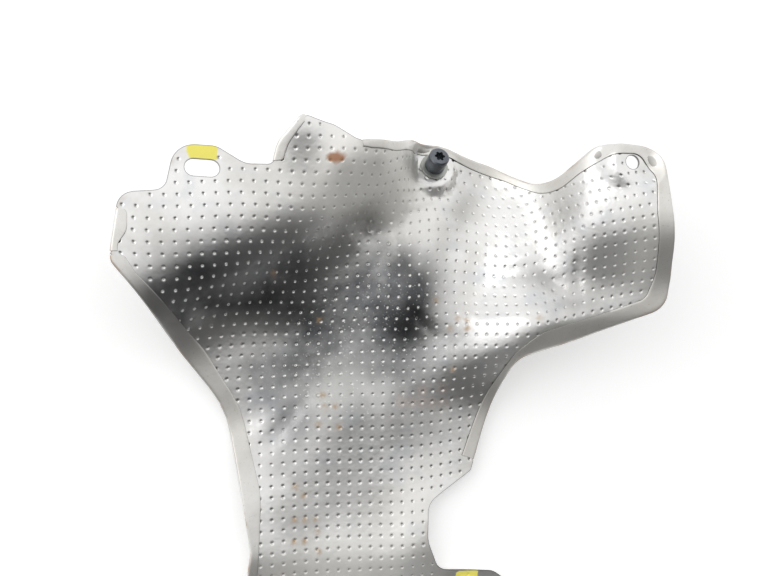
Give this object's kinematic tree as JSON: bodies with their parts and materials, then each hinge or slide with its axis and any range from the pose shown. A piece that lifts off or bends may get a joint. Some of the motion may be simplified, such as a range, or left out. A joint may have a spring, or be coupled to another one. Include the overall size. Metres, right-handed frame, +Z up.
{
  "type": "turbo heat shield",
  "caption": "Free-form pressed double-sheet heat shield with dimpled front, folded hem, slotted tab, round fixing holes and a captive bolt.",
  "frame": {"origin": "on the ground under the middle of the shield's bounding box", "axes": "+X towards the wing with the round hole, +Y towards the rear rim with the bolt, +Z up from the ground, dimpled side up"},
  "size_m": [0.2648, 0.2351, 0.0662],
  "materials": {
    "back_sheet": "aluminised steel, heat-stained",
    "front_sheet": "dimpled aluminised steel, sooty, with rust spots",
    "bolt": "black phosphated steel",
    "washer": "dull zinc"
  },
  "bodies": {
    "root": {"back_sheet": "back_sheet", "front_sheet": "front_sheet", "bolt": "bolt", "bolt_washer": "washer", "keeper_washer": "washer"}
  },
  "joints": []
}
